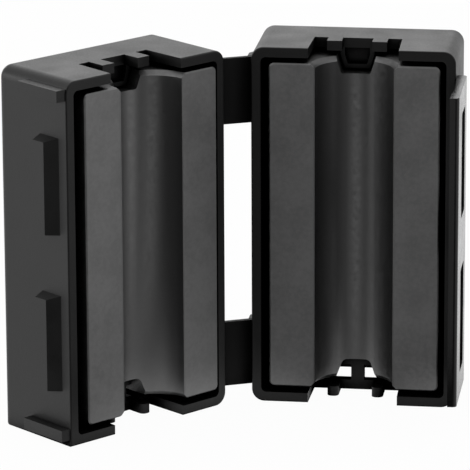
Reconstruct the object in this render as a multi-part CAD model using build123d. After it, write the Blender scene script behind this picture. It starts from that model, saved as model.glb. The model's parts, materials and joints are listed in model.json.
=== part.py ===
"""Open clip-on ferrite bead: two hinged case halves, each holding a grooved ferrite core.

Row frame: origin at the centre of the cable notch, on the mating plane of the flap half,
at the lower end. +Z runs up along the cable, the flap half lies on the +Y side of its
mating plane, the hinge is on its -X side and the latch flap on its +X side.
Lengths in millimetres, angles in degrees.
"""
import math
import os

from build123d import *

os.makedirs("parts", exist_ok=True)

# Case halves
case_length = 35.0
case_width = 19.4
case_depth = 9.9
side_wall = 0.9
end_wall = 0.95
back_wall = 0.9
corner_radius = 1.2
back_radius = 0.85
rim_radius = 0.15
pocket_corner_radius = 0.5
closed_gap = 0.1

# Cable notch in the end walls
notch_width = 8.6
notch_back_width = 8.35
notch_depth = 4.8

# Ferrite cores
core_setback = 0.03
core_side_clearance = 0.7
core_lower_clearance = 0.65
core_upper_clearance = 0.55
core_corner_radius = 0.5
core_edge_break = 0.12
groove_radius = 3.75
groove_flare = 0.45
flap_core_shift = 0.1
catch_core_shift = 0.65
seat_rib_height = 0.5
seat_rib_width = 1.0
seat_rib_spacing = 9.0
seat_rib_end_margin = 2.5

# End notches of the cores
top_notch_mouth = 3.75
top_notch_floor = 2.75
top_notch_depth = 1.6
top_notch_corner = 0.25
top_notch_shift = -0.2
bottom_notch_mouth = 3.9
bottom_notch_floor = 2.6
bottom_notch_depth = 1.8
bottom_notch_corner = 0.55
bottom_notch_shift = -0.08

# Retaining tongues
tongue_gap = 0.25
top_tongue_thickness = 1.25
top_tongue_rim = 0.42
top_tongue_recess = 0.7
top_tongue_corner = 0.2
bottom_tongue_thickness = 0.9
bottom_tongue_stem = 1.25
bottom_tongue_head = 0.65
bottom_tongue_shoulder = 0.4

# Cable prongs
prong_spacing = 4.3
top_prong_width = 1.4
bottom_prong_width = 1.1
flap_top_prong_length = 1.4
flap_bottom_prong_length = 2.4
catch_top_prong_length = 1.95
catch_bottom_prong_length = 1.95

# Slot in the lower end wall
slot_width = 5.4
slot_band = 0.98
slot_height = 0.88

# Hinge
opening_angle = 130.4
fold_depth = 1.7
strap_thickness = 0.5
strap_clearance = 0.05
strap_height = 6.4
strap_centre_offset = 13.0
lip_length = 1.9
lip_taper = 0.8

# Catch teeth
tooth_height = 9.25
tooth_spacing = 15.1
tooth_drop = 0.12
tooth_top_slope = 0.4
tooth_proud = 1.0
tooth_ramp_start = 1.15
tooth_crest_start = 2.15
tooth_catch_depth = 3.8
tooth_catch_slope = 0.08

# Guide rails
rail_proud = 1.0
rail_height = 1.1
rail_end_margin = 0.65
rail_depth = 5.7

# Latch flap
flap_thickness = 0.87
flap_clearance = 0.06
flap_reach = 7.5
flap_foot = 1.5
flap_foot_start = 0.1
flap_height = 29.9
flap_corner_radius = 0.4
window_height = 10.1
window_near_edge = 0.6
window_play = 0.2
window_corner_radius = 0.3

# Worked-out sizes
half_width = case_width / 2
mid_height = case_length / 2
pocket_depth = case_depth - back_wall
pocket_width = case_width - 2 * side_wall
pocket_length = case_length - 2 * end_wall
core_width = pocket_width - 2 * core_side_clearance
core_base = end_wall + core_lower_clearance
core_length = case_length - end_wall - core_upper_clearance - core_base
core_back = pocket_depth - seat_rib_height
fold_offset = strap_thickness / 2 + strap_clearance
strap_span = 2 * fold_depth + closed_gap
fold_angle = opening_angle / 2
window_far_edge = tooth_catch_depth + closed_gap + window_play


def block(x_min, x_max, y_min, y_max, z_min, z_max):
    """Return a box between two opposite corners."""
    solid = Box(x_max - x_min, y_max - y_min, z_max - z_min, align=(Align.MIN, Align.MIN, Align.MIN))
    return Pos(x_min, y_min, z_min) * solid


def column(points, z_min, z_max):
    """Return a prism that stands on an outline in the XY plane."""
    outline = make_face(Polyline(*points, close=True))
    return Pos(0, 0, z_min) * extrude(outline, z_max - z_min, dir=(0, 0, 1))


def slab(points, y_min, y_max):
    """Return a prism along Y over an outline in the XZ plane."""
    outline = make_face(Polyline(*[(x, 0, z) for x, z in points], close=True))
    return Pos(0, y_min, 0) * extrude(outline, y_max - y_min, dir=(0, 1, 0))


def upside_down(solid):
    """Return the solid turned over, so that its lower end becomes its upper end."""
    return Pos(0, 0, case_length) * Rot(0, 180, 0) * solid


def prong(x, width, length, rounded):
    """Return one cable prong at the lower end, pointing to the mating plane."""
    tip = notch_depth - length
    root = notch_depth + 0.3
    body = block(x - width / 2, x + width / 2, tip, root, 0, end_wall)
    if rounded:
        body = fillet(body.edges().filter_by(Axis.Z).sort_by(Axis.Y)[:2], 0.45 * width)
    return body


def end_notch(mouth, floor, depth, gap, base):
    """Return the tapered outline of a core's lower end notch, drawn in by a gap all round."""
    slope = (mouth - floor) / 2 / depth
    half_mouth = mouth / 2 - gap
    half_floor = floor / 2 - gap + slope * gap
    top = core_base + depth - gap
    return [
        (-half_mouth, base),
        (half_mouth, base),
        (half_mouth, core_base),
        (half_floor, top),
        (-half_floor, top),
        (-half_mouth, core_base),
    ]


def upper_corners(solid):
    """Return the edges along Y at the upper corners of a prism."""
    return solid.edges().filter_by(Axis.Y).sort_by(Axis.Z)[-2:]


def top_tongue():
    """Return the hollow-fronted tongue for the core's top notch, turned to the lower end."""
    size = (top_notch_mouth, top_notch_floor, top_notch_depth)
    back = notch_depth + top_tongue_thickness
    body = slab(end_notch(*size, tongue_gap, end_wall - 0.2), notch_depth, back)
    body = fillet(upper_corners(body), top_tongue_corner)
    recess_back = notch_depth + top_tongue_recess
    recess = end_notch(*size, tongue_gap + top_tongue_rim, end_wall)
    return body - slab(recess, notch_depth - 1, recess_back)


def bottom_tongue():
    """Return the T-shaped tongue that reaches into the core's bottom notch."""
    size = (bottom_notch_mouth, bottom_notch_floor, bottom_notch_depth)
    back = notch_depth + bottom_tongue_thickness
    head = slab(end_notch(*size, tongue_gap, end_wall), notch_depth, back)
    head = fillet(upper_corners(head), bottom_tongue_shoulder)
    head_start = core_base + bottom_notch_depth - tongue_gap - bottom_tongue_head
    half_mouth = bottom_notch_mouth / 2
    head -= block(-half_mouth, half_mouth, notch_depth - 1, back + 1, 0, head_start)
    half_stem = bottom_tongue_stem / 2
    stem = block(-half_stem, half_stem, notch_depth, back, end_wall - 0.2, head_start + 0.1)
    return head + stem


def hinge_lip(hinge_side, z_centre):
    """Return the lip behind one fold, on the outer face of the hinge wall."""
    wall = hinge_side * half_width
    crest = hinge_side * (half_width + fold_offset + strap_thickness / 2)
    inside = hinge_side * (half_width - 0.3)
    start = fold_depth + fold_offset
    outline = [
        (inside, start),
        (crest, start),
        (crest, start + lip_length - lip_taper),
        (wall, start + lip_length),
        (inside, start + lip_length),
    ]
    low = z_centre - strap_height / 2
    return column(outline, low, low + strap_height)


def case_half(hinge_side, core_shift, top_prong_length, bottom_prong_length, squared_corners):
    """Return a case half, open towards -Y, with its mating plane at y = 0."""
    shell = block(-half_width, half_width, 0, case_depth, 0, case_length)
    corners = shell.edges().filter_by(Axis.Y).sort_by(lambda edge: edge.center().X + edge.center().Z)
    shell = fillet(corners[squared_corners:], corner_radius)
    shell = fillet(shell.faces().sort_by(Axis.Y)[-1].edges(), back_radius)
    shell = fillet(shell.faces().sort_by(Axis.Y)[0].edges(), rim_radius)
    pocket = block(-pocket_width / 2, pocket_width / 2, -1, pocket_depth, end_wall, end_wall + pocket_length)
    shell -= fillet(pocket.edges().filter_by(Axis.Y), pocket_corner_radius)
    flare = (notch_width - notch_back_width) / 2 / notch_depth
    notch = [
        (-notch_width / 2 - flare, -1),
        (notch_width / 2 + flare, -1),
        (notch_back_width / 2, notch_depth),
        (-notch_back_width / 2, notch_depth),
    ]
    shell -= column(notch, -1, case_length + 1)
    slot_front = notch_depth + slot_band
    shell -= block(-slot_width / 2, slot_width / 2, slot_front, pocket_depth, -1, end_wall + 1)
    shell -= block(-slot_width / 2, slot_width / 2, slot_front, case_depth + 1, -1, slot_height)
    for side in (-1, 1):
        x = side * prong_spacing / 2
        shell += prong(x, bottom_prong_width, bottom_prong_length, True)
        shell += upside_down(prong(x, top_prong_width, top_prong_length, False))
        rib_x = side * seat_rib_spacing / 2
        rib = block(
            rib_x - seat_rib_width / 2,
            rib_x + seat_rib_width / 2,
            core_back,
            pocket_depth + 0.2,
            end_wall + seat_rib_end_margin,
            end_wall + pocket_length - seat_rib_end_margin,
        )
        shell += rib
        shell += hinge_lip(hinge_side, mid_height + side * strap_centre_offset)
    shell += Pos(core_shift + bottom_notch_shift, 0, 0) * bottom_tongue()
    shell += Pos(core_shift + top_notch_shift, 0, 0) * upside_down(top_tongue())
    return shell


def catch_tooth(z_centre):
    """Return one wedge-shaped catch tooth on the latch wall at -X."""
    wall = -half_width
    crest = wall - tooth_proud
    outline = [
        (wall + 0.3, tooth_ramp_start),
        (wall, tooth_ramp_start),
        (crest, tooth_crest_start),
        (crest, tooth_catch_depth - tooth_catch_slope),
        (wall, tooth_catch_depth),
        (wall + 0.3, tooth_catch_depth),
    ]
    low = z_centre - tooth_drop - tooth_height / 2
    top = low + tooth_height
    rise = tooth_top_slope / tooth_proud
    slope = [(wall, top), (crest - 0.1, top - tooth_top_slope - 0.1 * rise), (crest - 0.1, top)]
    return column(outline, low, top) - slab(slope, 0, tooth_catch_depth + 1)


def latch_flap():
    """Return the windowed flap on the latch wall at +X."""
    inner = half_width + flap_clearance
    outer = inner + flap_thickness
    low = mid_height - flap_height / 2
    plate = block(inner, outer, -flap_reach, flap_foot, low, low + flap_height)
    plate = fillet(plate.edges().filter_by(Axis.Z).sort_by(Axis.X)[-2:], flap_corner_radius)
    foot = block(half_width, inner + 0.2, flap_foot_start, flap_foot - 0.1, low, low + flap_height)
    plate += foot
    for side in (-1, 1):
        z = mid_height + side * tooth_spacing / 2
        window = block(
            half_width - 1,
            outer + 1,
            -window_far_edge,
            -window_near_edge,
            z - window_height / 2,
            z + window_height / 2,
        )
        plate -= fillet(window.edges().filter_by(Axis.X), window_corner_radius)
    return plate


def ferrite_core(shift):
    """Return a grooved core with an open notch at each end of its groove."""
    core = block(
        shift - core_width / 2,
        shift + core_width / 2,
        core_setback,
        core_back,
        core_base,
        core_base + core_length,
    )
    core = fillet(core.edges().filter_by(Axis.Y), core_corner_radius)
    core = chamfer(core.faces().sort_by(Axis.Y)[0].edges(), core_edge_break)
    groove = Cylinder(groove_radius, core_length + 2, align=(Align.CENTER, Align.CENTER, Align.MIN))
    core -= Pos(shift, 0, core_base - 1) * groove
    flare = Cone(
        groove_radius + groove_flare,
        groove_radius,
        groove_flare,
        align=(Align.CENTER, Align.CENTER, Align.MIN),
    )
    core -= Pos(shift, 0, core_base) * flare
    core -= Pos(shift, 0, core_base + core_length) * Rot(180, 0, 0) * flare
    bottom = end_notch(bottom_notch_mouth, bottom_notch_floor, bottom_notch_depth, 0, core_base - 1)
    bottom = slab(bottom, -1, core_back + 1)
    bottom = fillet(upper_corners(bottom), bottom_notch_corner)
    top = end_notch(top_notch_mouth, top_notch_floor, top_notch_depth, 0, core_base - 1)
    top = slab(top, -1, core_back + 1)
    top = fillet(upper_corners(top), top_notch_corner)
    core -= Pos(shift + bottom_notch_shift, 0, 0) * bottom
    return core - Pos(shift + top_notch_shift, 0, 0) * upside_down(top)


def hinge_strap(z_centre):
    """Return a closed-pose strap between the two fold lines."""
    x = -half_width - fold_offset
    half = strap_thickness / 2
    web = block(
        x - half,
        x + half,
        -fold_depth - closed_gap,
        fold_depth,
        z_centre - strap_height / 2,
        z_centre + strap_height / 2,
    )
    for y in (fold_depth, -fold_depth - closed_gap):
        web += Pos(x, y, z_centre) * Cylinder(half, strap_height)
    return web


def turned(solid, x, y, angle):
    """Return the solid turned clockwise, seen from above, about an upright line."""
    return Pos(x, y, 0) * Rot(0, 0, -angle) * Pos(-x, -y, 0) * solid


def opened_strap(solid):
    """Return a closed-pose strap swung to the rest pose."""
    return turned(solid, -half_width - fold_offset, fold_depth, fold_angle)


def opened_catch(solid):
    """Return a piece of the catch half, built like the flap half, in the rest pose."""
    closed = Pos(0, -closed_gap, 0) * Rot(0, 0, 180) * solid
    folded = turned(closed, -half_width - fold_offset, -fold_depth - closed_gap, fold_angle)
    return opened_strap(folded)


# Flap half
flap_case_half = case_half(-1, flap_core_shift, flap_top_prong_length, flap_bottom_prong_length, 0)

# Catch half
catch_case_half = case_half(1, catch_core_shift, catch_top_prong_length, catch_bottom_prong_length, 1)
for side in (-1, 1):
    catch_case_half += catch_tooth(mid_height + side * tooth_spacing / 2)
    edge = mid_height + side * (mid_height - rail_end_margin - rail_height / 2)
    catch_case_half += block(
        -half_width - rail_proud,
        -half_width + 0.3,
        rim_radius,
        rail_depth,
        edge - rail_height / 2,
        edge + rail_height / 2,
    )

# Pieces in the rest pose
pieces = {
    "flap_case_half": flap_case_half,
    "latch_flap": latch_flap(),
    "flap_side_core": ferrite_core(flap_core_shift),
    "catch_case_half": opened_catch(catch_case_half),
    "catch_side_core": opened_catch(ferrite_core(catch_core_shift)),
    "hinge_strap_upper": opened_strap(hinge_strap(mid_height + strap_centre_offset)),
    "hinge_strap_lower": opened_strap(hinge_strap(mid_height - strap_centre_offset)),
}
for name, piece in pieces.items():
    export_step(piece, f"parts/{name}.step")
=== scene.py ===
"""Looks of an open clip-on ferrite bead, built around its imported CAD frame."""

import json
import logging
import math
from dataclasses import dataclass, field
from enum import Enum
from typing import Any

import bpy
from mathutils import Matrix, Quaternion, Vector

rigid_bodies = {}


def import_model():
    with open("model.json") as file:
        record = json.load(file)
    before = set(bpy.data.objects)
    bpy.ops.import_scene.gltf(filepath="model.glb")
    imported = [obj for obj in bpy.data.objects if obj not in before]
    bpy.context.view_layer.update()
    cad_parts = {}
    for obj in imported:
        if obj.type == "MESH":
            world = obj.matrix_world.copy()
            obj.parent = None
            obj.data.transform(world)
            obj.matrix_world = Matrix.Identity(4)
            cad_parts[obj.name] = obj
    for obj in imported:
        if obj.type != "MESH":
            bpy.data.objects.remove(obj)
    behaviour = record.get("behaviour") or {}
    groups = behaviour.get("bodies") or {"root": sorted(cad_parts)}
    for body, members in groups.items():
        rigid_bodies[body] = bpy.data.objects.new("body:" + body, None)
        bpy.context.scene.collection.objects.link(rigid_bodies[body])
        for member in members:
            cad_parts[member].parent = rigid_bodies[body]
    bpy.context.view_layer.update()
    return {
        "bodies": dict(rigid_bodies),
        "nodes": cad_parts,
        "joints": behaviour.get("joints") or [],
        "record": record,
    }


log = logging.getLogger("ferrite_bead")

Colour = tuple[float, float, float, float]
Range = tuple[float, float]
Point = tuple[float, float, float]

IMAGE_SIZE = 470
MM = 0.001

# The colour sockets of Blender's Mix node, by number.
MIX_SHARE, MIX_FIRST, MIX_SECOND, MIX_RESULT = 0, 6, 7, 2

# The upright axis of each core's groove, in millimetres.
FLAP_GROOVE = (0.1, 0.0)
CATCH_GROOVE = (-17.943, -7.990)


class Body(Enum):
    """The CAD bodies that pieces ride on."""

    FLAP = "flap_half"
    STRAPS = "hinge_straps"
    CATCH = "catch_half"


class Ray(Enum):
    """The kinds of ray that the studio tells apart."""

    CAMERA = "Is Camera Ray"
    GLOSSY = "Is Glossy Ray"
    TRANSMISSION = "Is Transmission Ray"


class Value:
    """A shader socket that takes part in Python arithmetic."""

    def __init__(self, shader: "Shader", socket: bpy.types.NodeSocket) -> None:
        """Wrap a socket.

        Args:
            shader: The shader that owns the socket's node.
            socket: The output socket to wrap.
        """
        self.shader = shader
        self.socket = socket

    def _math(self, operation: str, first: Any, second: Any) -> "Value":
        """Add a Math node.

        Args:
            operation: The node's operation.
            first: Its first input.
            second: Its second input.

        Returns:
            The node's result.
        """
        return self.shader.add("ShaderNodeMath", {"operation": operation}, {0: first, 1: second})

    def __add__(self, other: Any) -> "Value":
        """Return self + other."""
        return self._math("ADD", self, other)

    def __radd__(self, other: Any) -> "Value":
        """Return other + self."""
        return self._math("ADD", other, self)

    def __sub__(self, other: Any) -> "Value":
        """Return self - other."""
        return self._math("SUBTRACT", self, other)

    def __rsub__(self, other: Any) -> "Value":
        """Return other - self."""
        return self._math("SUBTRACT", other, self)

    def __mul__(self, other: Any) -> "Value":
        """Return self * other."""
        return self._math("MULTIPLY", self, other)

    def __rmul__(self, other: Any) -> "Value":
        """Return other * self."""
        return self._math("MULTIPLY", other, self)

    def at_most(self, limit: float) -> "Value":
        """Return the value, kept from passing a limit."""
        return self._math("MINIMUM", self, limit)

    def centred(self) -> "Value":
        """Return the value less a half, so that a noise varies about zero."""
        return self - 0.5

    def stretched(self, low: float, high: float) -> "Value":
        """Map a range to 0 to 1, smoothly and clamped.

        Args:
            low: The value that becomes 0.
            high: The value that becomes 1.

        Returns:
            The mapped value.
        """
        settings = {"interpolation_type": "SMOOTHSTEP"}
        inputs = {"Value": self, "From Min": low, "From Max": high}
        return self.shader.add("ShaderNodeMapRange", settings, inputs)

    def sibling(self, output: str) -> "Value":
        """Return another output of the same node."""
        return Value(self.shader, self.socket.node.outputs[output])


@dataclass(frozen=True)
class Noise:
    """The grain of one noise texture."""

    scale: float
    detail: float
    roughness: float = 0.5


class Shader:
    """A node tree with one method that adds any node."""

    def __init__(self, tree: bpy.types.NodeTree) -> None:
        """Empty a node tree and keep it.

        Args:
            tree: The material's or world's node tree.
        """
        self.tree = tree
        tree.nodes.clear()

    def node(self, kind: str, settings: dict[str, Any], inputs: dict[Any, Any]) -> bpy.types.Node:
        """Make a node.

        Args:
            kind: The node's type name.
            settings: Its properties, which are set first.
            inputs: Values or links for its input sockets, by name or number.

        Returns:
            The node.
        """
        made = self.tree.nodes.new(kind)
        for name, value in settings.items():
            setattr(made, name, value)
        for key, value in inputs.items():
            socket = made.inputs[key]
            if isinstance(value, Value):
                self.tree.links.new(value.socket, socket)
            else:
                socket.default_value = value
        return made

    def add(
        self, kind: str, settings: dict[str, Any], inputs: dict[Any, Any], output: Any = 0
    ) -> Value:
        """Make a node and take one of its outputs.

        Args:
            kind: The node's type name.
            settings: Its properties, which are set first.
            inputs: Values or links for its input sockets, by name or number.
            output: The output socket to return, by name or number.

        Returns:
            The chosen output.
        """
        return Value(self, self.node(kind, settings, inputs).outputs[output])

    def noise(self, where: Value, grain: Noise) -> Value:
        """Add a noise texture.

        Args:
            where: The coordinates that it reads.
            grain: Its cells per metre, its octaves and the weight of the finer ones.

        Returns:
            The noise value, about 0 to 1.
        """
        inputs = {
            "Vector": where,
            "Scale": grain.scale,
            "Detail": grain.detail,
            "Roughness": grain.roughness,
        }
        return self.add("ShaderNodeTexNoise", {}, inputs)

    def vectors(self, operation: str, first: Any, second: Any) -> Value:
        """Add a Vector Math node with two inputs.

        Args:
            operation: The node's operation.
            first: Its first vector.
            second: Its second vector.

        Returns:
            The resulting vector.
        """
        return self.add("ShaderNodeVectorMath", {"operation": operation}, {0: first, 1: second})

    def colours(self, share: Value, first: Any, second: Any) -> Value:
        """Mix two colours.

        Args:
            share: The share of the second colour.
            first: The colour at 0, as a colour or a link.
            second: The colour at 1, as a colour or a link.

        Returns:
            The mixed colour.
        """
        inputs = {MIX_SHARE: share, MIX_FIRST: first, MIX_SECOND: second}
        return self.add("ShaderNodeMix", {"data_type": "RGBA"}, inputs, MIX_RESULT)

    def bump(self, strength: float, distance: float, height: Value) -> Value:
        """Turn a height into a bumped normal.

        Args:
            strength: The share of the effect.
            distance: The height in metres that a value of 1 stands for.
            height: The height value.

        Returns:
            The normal.
        """
        inputs = {"Strength": strength, "Distance": distance, "Height": height}
        return self.add("ShaderNodeBump", {}, inputs, "Normal")


def grey(level: float) -> Colour:
    """Return a neutral colour."""
    return (level, level, level, 1.0)


@dataclass(frozen=True)
class PaintedCavityShade:
    """Painted shade: a dull black matte mixed by occlusion into deep, narrow places, which show no
    gloss, standing in for their shadow.
    """

    reach: float = 3.5
    edge: Range = (0.28, 0.7)
    shade: float = 0.002
    samples: int = 8

    def paint_cavity_shade(self, shader: Shader, surface: Value) -> Value:
        """Paint shade into a surface: mix the dull black in where little of its surroundings is
        open.

        Args:
            shader: The surface's tree.
            surface: The surface's shader.

        Returns:
            The mixed shader.
        """
        settings = {"samples": self.samples}
        inputs = {"Distance": self.reach * MM}
        open_share = shader.add("ShaderNodeAmbientOcclusion", settings, inputs, "AO")
        # The painted shade itself: a near-black matte that stands in for the shadow in deep places.
        matte = shader.add("ShaderNodeBsdfDiffuse", {}, {"Color": grey(self.shade)})
        mixed = {0: open_share.stretched(*self.edge), 1: matte, 2: surface}
        return shader.add("ShaderNodeMixShader", {}, mixed)


@dataclass(frozen=True)
class Finish:
    """What the plastic and the ferrite have in common."""

    name: str
    ior: float
    # Painted shade in deep, narrow places, mixed into every finish.
    painted_cavity_shade: PaintedCavityShade = PaintedCavityShade()

    def surface(self, shader: Shader, where: Value) -> tuple[Value, Value, Value]:
        """Work out what changes over the surface.

        Args:
            shader: The material's tree.
            where: The object coordinates.

        Returns:
            The colour, the roughness and the normal.
        """
        raise NotImplementedError

    def material(self) -> bpy.types.Material:
        """Build the material.

        Returns:
            The finished material.
        """
        made = bpy.data.materials.new(self.name)
        made.use_nodes = True
        shader = Shader(made.node_tree)
        where = shader.add("ShaderNodeTexCoord", {}, {}, "Object")
        colour, rough, normal = self.surface(shader, where)
        inputs = {"Base Color": colour, "Roughness": rough, "IOR": self.ior, "Normal": normal}
        gloss = shader.add("ShaderNodeBsdfPrincipled", {}, inputs)
        # Mix the painted shade of deep places over the gloss.
        shown = self.painted_cavity_shade.paint_cavity_shade(shader, gloss)
        shader.node("ShaderNodeOutputMaterial", {}, {"Surface": shown})
        return made


@dataclass(frozen=True)
class MouldedPlastic(Finish):
    """Black satin polyamide with the fine grain of an eroded mould."""

    name: str = "black moulded plastic"
    ior: float = 1.4
    dark: float = 0.002
    light: float = 0.004
    roughness: float = 0.42
    roughness_spread: float = 0.22
    cloud: Noise = Noise(260.0, 3.0)
    cloud_range: Range = (0.35, 0.7)
    grain: Noise = Noise(5200.0, 4.0, 0.6)
    grain_height: float = 0.00002
    grain_strength: float = 0.5

    def surface(self, shader: Shader, where: Value) -> tuple[Value, Value, Value]:
        """Work out the plastic's colour, roughness and grain.

        Args:
            shader: The material's tree.
            where: The object coordinates.

        Returns:
            The colour, the roughness and the normal.
        """
        cloud = shader.noise(where, self.cloud)
        grain = shader.noise(where, self.grain)
        share = cloud.stretched(*self.cloud_range)
        colour = shader.colours(share, grey(self.dark), grey(self.light))
        spread = self.roughness_spread
        rough = self.roughness + grain.centred() * spread + cloud.centred() * spread
        return colour, rough, shader.bump(self.grain_strength, self.grain_height, grain)


@dataclass(frozen=True)
class SinteredFerrite(Finish):
    """Dark grey sintered ferrite: mottled, ground flats and a smoother groove, whose darker colour
    is painted shade of the recess.
    """

    ior: float = 2.35
    groove_axis: tuple[float, float] = FLAP_GROOVE
    groove_radius: float = 3.85
    groove_blend: float = 0.1
    # Colour of the groove's painted shade.
    groove_painted_shade: float = 0.005
    groove_roughness: float = 0.4
    groove_polish: float = 0.75
    dark: float = 0.012
    light: float = 0.058
    tone_range: Range = (0.36, 0.64)
    speck: float = 0.05
    speck_share: float = 0.5
    speck_range: Range = (0.66, 0.74)
    roughness: float = 0.48
    roughness_spread: float = 0.3
    cloud: Noise = Noise(300.0, 4.0, 0.6)
    mottle: Noise = Noise(2200.0, 3.0, 0.6)
    pits: Noise = Noise(2600.0, 5.0, 0.65)
    pit_height: float = 0.00002
    pit_strength: float = 0.6

    def groove(self, shader: Shader, where: Value) -> Value:
        """Tell the groove from the flats by the distance from the groove's upright axis.

        Args:
            shader: The tree that asks.
            where: The object coordinates.

        Returns:
            1 on the groove's wall and 0 outside it.
        """
        axis = (self.groove_axis[0] * MM, self.groove_axis[1] * MM, 0.0)
        offset = shader.vectors("SUBTRACT", where, axis)
        level = shader.vectors("MULTIPLY", offset, (1.0, 1.0, 0.0))
        radius = shader.add("ShaderNodeVectorMath", {"operation": "LENGTH"}, {0: level}, "Value")
        outer = self.groove_radius + self.groove_blend
        return 1 - radius.stretched(self.groove_radius * MM, outer * MM)

    def surface(self, shader: Shader, where: Value) -> tuple[Value, Value, Value]:
        """Work out the ferrite's mottled colour, its roughness and its pits.

        Args:
            shader: The material's tree.
            where: The object coordinates.

        Returns:
            The colour, the roughness and the normal.
        """
        cloud = shader.noise(where, self.cloud)
        pits = shader.noise(where, self.pits)
        mottle = shader.noise(where, self.mottle)
        groove = self.groove(shader, where)
        tone = ((cloud + mottle) * 0.5).stretched(*self.tone_range)
        base = shader.colours(tone, grey(self.dark), grey(self.light))
        specks = pits.stretched(*self.speck_range) * self.speck_share
        speckled = shader.colours(specks, base, grey(self.speck))
        # The groove's darker colour is painted shade, standing in for the shadow inside the deep
        # groove.
        colour = shader.colours(groove, speckled, grey(self.groove_painted_shade))
        even = self.roughness + groove * (self.groove_roughness - self.roughness)
        spread = self.roughness_spread
        rough = even + mottle.centred() * spread + pits.centred() * spread
        height = pits * (1 - groove * self.groove_polish)
        return colour, rough, shader.bump(self.pit_strength, self.pit_height, height)


@dataclass(frozen=True)
class EdgeRounding:
    """The small rounding of moulded or tumbled edges, in millimetres."""

    width: float
    segments: int = 2
    least_angle: float = 40.0

    def apply(self, node: bpy.types.Object) -> None:
        """Round a CAD node's sharp edges with a modifier."""
        rounding = node.modifiers.new("edge rounding", "BEVEL")
        rounding.width = self.width * MM
        rounding.segments = self.segments
        rounding.limit_method = "ANGLE"
        rounding.angle_limit = math.radians(self.least_angle)


@dataclass
class DressedPieces:
    """Pieces of one body that share a finish."""

    nodes: tuple[str, ...]
    body: Body

    def edges(self) -> EdgeRounding:
        """Return the rounding of the pieces' edges."""
        raise NotImplementedError

    def dress(self, frame: dict[str, Any], material: bpy.types.Material) -> None:
        """Give each piece its rounded edges and its material.

        Args:
            frame: The loaded CAD frame.
            material: The material that the pieces share.
        """
        for name in self.nodes:
            node = frame["nodes"][name]
            self.edges().apply(node)
            for slot in node.material_slots:
                slot.link = "OBJECT"
                slot.material = material
            if not node.material_slots:
                node.data.materials.append(material)
            log.info("dressed %s on %s", name, self.body.value)


@dataclass
class Moulding(DressedPieces):
    """Moulded pieces: a case half, the latch flap or the hinge straps."""

    edge: float = 0.09

    def edges(self) -> EdgeRounding:
        """Return the rounding of the moulded edges."""
        return EdgeRounding(self.edge)


@dataclass
class FerriteCore(DressedPieces):
    """One grooved core in its pocket."""

    groove_axis: tuple[float, float] = FLAP_GROOVE
    edge: float = 0.07

    def edges(self) -> EdgeRounding:
        """Return the rounding of the tumbled edges."""
        return EdgeRounding(self.edge)

    def build(self, frame: dict[str, Any]) -> None:
        """Dress the core in ferrite whose groove mask stands on its own groove.

        Args:
            frame: The loaded CAD frame.
        """
        name = f"sintered ferrite of {self.nodes[0]}"
        finish = SinteredFerrite(name, groove_axis=self.groove_axis)
        self.dress(frame, finish.material())


@dataclass
class SoftBox:
    """A large rectangular lamp that points at the object."""

    name: str
    place: Point
    size: tuple[float, float]
    radiance: float
    aim: Point = (-0.008, 0.0, 0.018)

    def build(self) -> None:
        """Add the lamp, with the power that gives its face the wanted radiance."""
        data = bpy.data.lights.new(self.name, "AREA")
        data.shape = "RECTANGLE"
        data.size, data.size_y = self.size
        data.energy = self.radiance * self.size[0] * self.size[1] * math.pi
        lamp = bpy.data.objects.new(self.name, data)
        bpy.context.scene.collection.objects.link(lamp)
        lamp.location = self.place
        lamp.rotation_mode = "QUATERNION"
        towards = Vector(self.aim) - Vector(self.place)
        lamp.rotation_quaternion = towards.to_track_quat("-Z", "Y")
        log.info("lamp %s", self.name)


def lamp_set() -> list[SoftBox]:
    """Return the studio's lamps: a strong one at the left and weak ones behind and at the right."""
    return [
        SoftBox("back_box", (-0.21, 0.73, 0.29), (0.6, 0.4), 0.6),
        SoftBox("left_box", (-0.75, -0.30, 0.18), (0.6, 0.34), 4.5),
        SoftBox("right_box", (0.75, -0.10, 0.22), (0.4, 0.4), 0.4),
    ]


@dataclass(frozen=True)
class Surroundings:
    """How bright the floor and the sky are in each direction, as all but the camera sees them."""

    front_dimming: float = 0.93
    front_edge: Range = (-0.88, -0.42)
    right_dimming: float = 0.18
    right_edge: Range = (0.2, 0.85)
    front_glow: float = 0.5
    glow_edge: Range = (-0.995, -0.92)

    def split(self, shader: Shader, direction: Value) -> tuple[Value, Value]:
        """Split a direction into how far it points right and how far back.

        Args:
            shader: The tree that asks.
            direction: The direction from the object.

        Returns:
            The right and back parts, each from -1 to 1.
        """
        settings = {"operation": "NORMALIZE"}
        unit = shader.add("ShaderNodeVectorMath", settings, {0: direction})
        right = shader.add("ShaderNodeSeparateXYZ", {}, {"Vector": unit}, "X")
        return right, right.sibling("Y")

    def level(self, right: Value, back: Value) -> Value:
        """Grade from the white back and left to the dimmer front and right.

        Args:
            right: How far the direction points right.
            back: How far it points back.

        Returns:
            The brightness in that direction, up to 1.
        """
        front_share = 1 - back.stretched(*self.front_edge)
        right_share = right.stretched(*self.right_edge)
        return (1 - front_share * self.front_dimming) * (1 - right_share * self.right_dimming)

    def glow(self, back: Value) -> Value:
        """Light the middle of the floor in front of the object.

        Args:
            back: How far the direction points back.

        Returns:
            The brightness that is added in that direction.
        """
        return (1 - back.stretched(*self.glow_edge)) * self.front_glow


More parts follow.
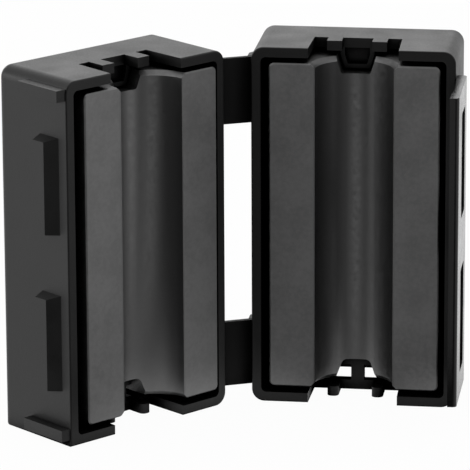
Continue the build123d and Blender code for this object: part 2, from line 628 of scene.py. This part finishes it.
@dataclass
class Studio:
    """Floor, surroundings, lamps and camera."""

    floor_size: float = 6.0
    floor_drop: float = 0.00002
    floor_shade: float = 0.8
    floor_white: float = 0.97
    side_light: float = 0.9
    focal_px: float = 4384.0
    sensor_mm: float = 36.0
    clip_range: Range = (0.01, 50.0)
    camera_place: Point = (0.042145, -0.398327, 0.131362)
    camera_look: Point = (-0.127798, 0.952997, -0.274708)
    camera_roll: float = 0.265
    surroundings: Surroundings = Surroundings()
    lamps: list[SoftBox] = field(default_factory=lamp_set)

    def rays(self, shader: Shader) -> tuple[Value, Value]:
        """Tell apart the rays that meet the studio.

        Args:
            shader: The tree that asks.

        Returns:
            1 for camera and transmission rays, and 1 for glossy rays.
        """
        camera = shader.add("ShaderNodeLightPath", {}, {}, Ray.CAMERA.value)
        plain = camera + camera.sibling(Ray.TRANSMISSION.value)
        return plain.at_most(1.0), camera.sibling(Ray.GLOSSY.value)

    def floor_material(self) -> bpy.types.Material:
        """Make the floor white to the camera, graded in reflections and matte to other light.

        Returns:
            The floor's material.
        """
        material = bpy.data.materials.new("pale floor")
        material.use_nodes = True
        shader = Shader(material.node_tree)
        plain, glossy = self.rays(shader)
        where = shader.add("ShaderNodeTexCoord", {}, {}, "Object")
        right, back = self.surroundings.split(shader, where)
        level = self.surroundings.level(right, back) + self.surroundings.glow(back)
        strength = plain + (1 - plain) * level
        shown = plain * self.floor_white + (1 - plain) * glossy
        matte = shader.add("ShaderNodeBsdfDiffuse", {}, {"Color": grey(self.floor_shade)})
        emitted = {"Color": grey(1.0), "Strength": strength}
        white = shader.add("ShaderNodeEmission", {}, emitted)
        surface = shader.add("ShaderNodeMixShader", {}, {0: shown, 1: matte, 2: white})
        shader.node("ShaderNodeOutputMaterial", {}, {"Surface": surface})
        return material

    def floor(self) -> None:
        """Build the pale floor."""
        half = self.floor_size / 2
        mesh = bpy.data.meshes.new("floor")
        corners = [(-half, -half, 0), (half, -half, 0), (half, half, 0), (-half, half, 0)]
        mesh.from_pydata(corners, [], [(0, 1, 2, 3)])
        mesh.materials.append(self.floor_material())
        made = bpy.data.objects.new("floor", mesh)
        bpy.context.scene.collection.objects.link(made)
        made.location.z = -self.floor_drop
        log.info("floor")

    def world(self) -> None:
        """Make surroundings that are white to the camera and darker in front of the object."""
        world = bpy.data.worlds.new("studio")
        world.use_nodes = True
        bpy.context.scene.world = world
        shader = Shader(world.node_tree)
        where = shader.add("ShaderNodeTexCoord", {}, {}, "Generated")
        plain, glossy = self.rays(shader)
        lighting = self.side_light + glossy * (1 - self.side_light)
        right, back = self.surroundings.split(shader, where)
        seen = plain + (1 - plain) * lighting * self.surroundings.level(right, back)
        shown = {"Color": grey(1.0), "Strength": seen}
        sky = shader.add("ShaderNodeBackground", {}, shown)
        shader.node("ShaderNodeOutputWorld", {}, {"Surface": sky})
        log.info("surroundings")

    def camera(self) -> None:
        """Place the camera where the photograph was taken."""
        data = bpy.data.cameras.new("camera")
        data.sensor_width = self.sensor_mm
        data.lens = self.focal_px * self.sensor_mm / IMAGE_SIZE
        data.clip_start, data.clip_end = self.clip_range
        made = bpy.data.objects.new("camera", data)
        bpy.context.scene.collection.objects.link(made)
        look = Vector(self.camera_look).normalized()
        roll = Quaternion(look, math.radians(self.camera_roll))
        made.rotation_mode = "QUATERNION"
        made.rotation_quaternion = roll @ look.to_track_quat("-Z", "Y")
        made.location = self.camera_place
        bpy.context.scene.camera = made
        log.info("camera")

    def build(self) -> None:
        """Build the whole studio."""
        self.floor()
        self.world()
        for lamp in self.lamps:
            lamp.build()
        self.camera()
        bpy.context.scene.view_settings.view_transform = "Standard"


def main() -> None:
    """Dress the frame's pieces and set up the studio."""
    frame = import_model()
    plastic = MouldedPlastic().material()
    smoother = MouldedPlastic("smoother black plastic", roughness=0.16).material()
    flexed = MouldedPlastic("flexed black plastic", ior=1.3, roughness=0.6).material()
    Moulding(("flap_case_half",), Body.FLAP).dress(frame, plastic)
    Moulding(("latch_flap",), Body.FLAP).dress(frame, smoother)
    Moulding(("catch_case_half",), Body.CATCH).dress(frame, plastic)
    Moulding(("hinge_strap_upper", "hinge_strap_lower"), Body.STRAPS).dress(frame, flexed)
    FerriteCore(("flap_side_core",), Body.FLAP, FLAP_GROOVE).build(frame)
    FerriteCore(("catch_side_core",), Body.CATCH, CATCH_GROOVE).build(frame)
    Studio().build()


if __name__ == "__main__":
    logging.basicConfig(level=logging.INFO)
    main()
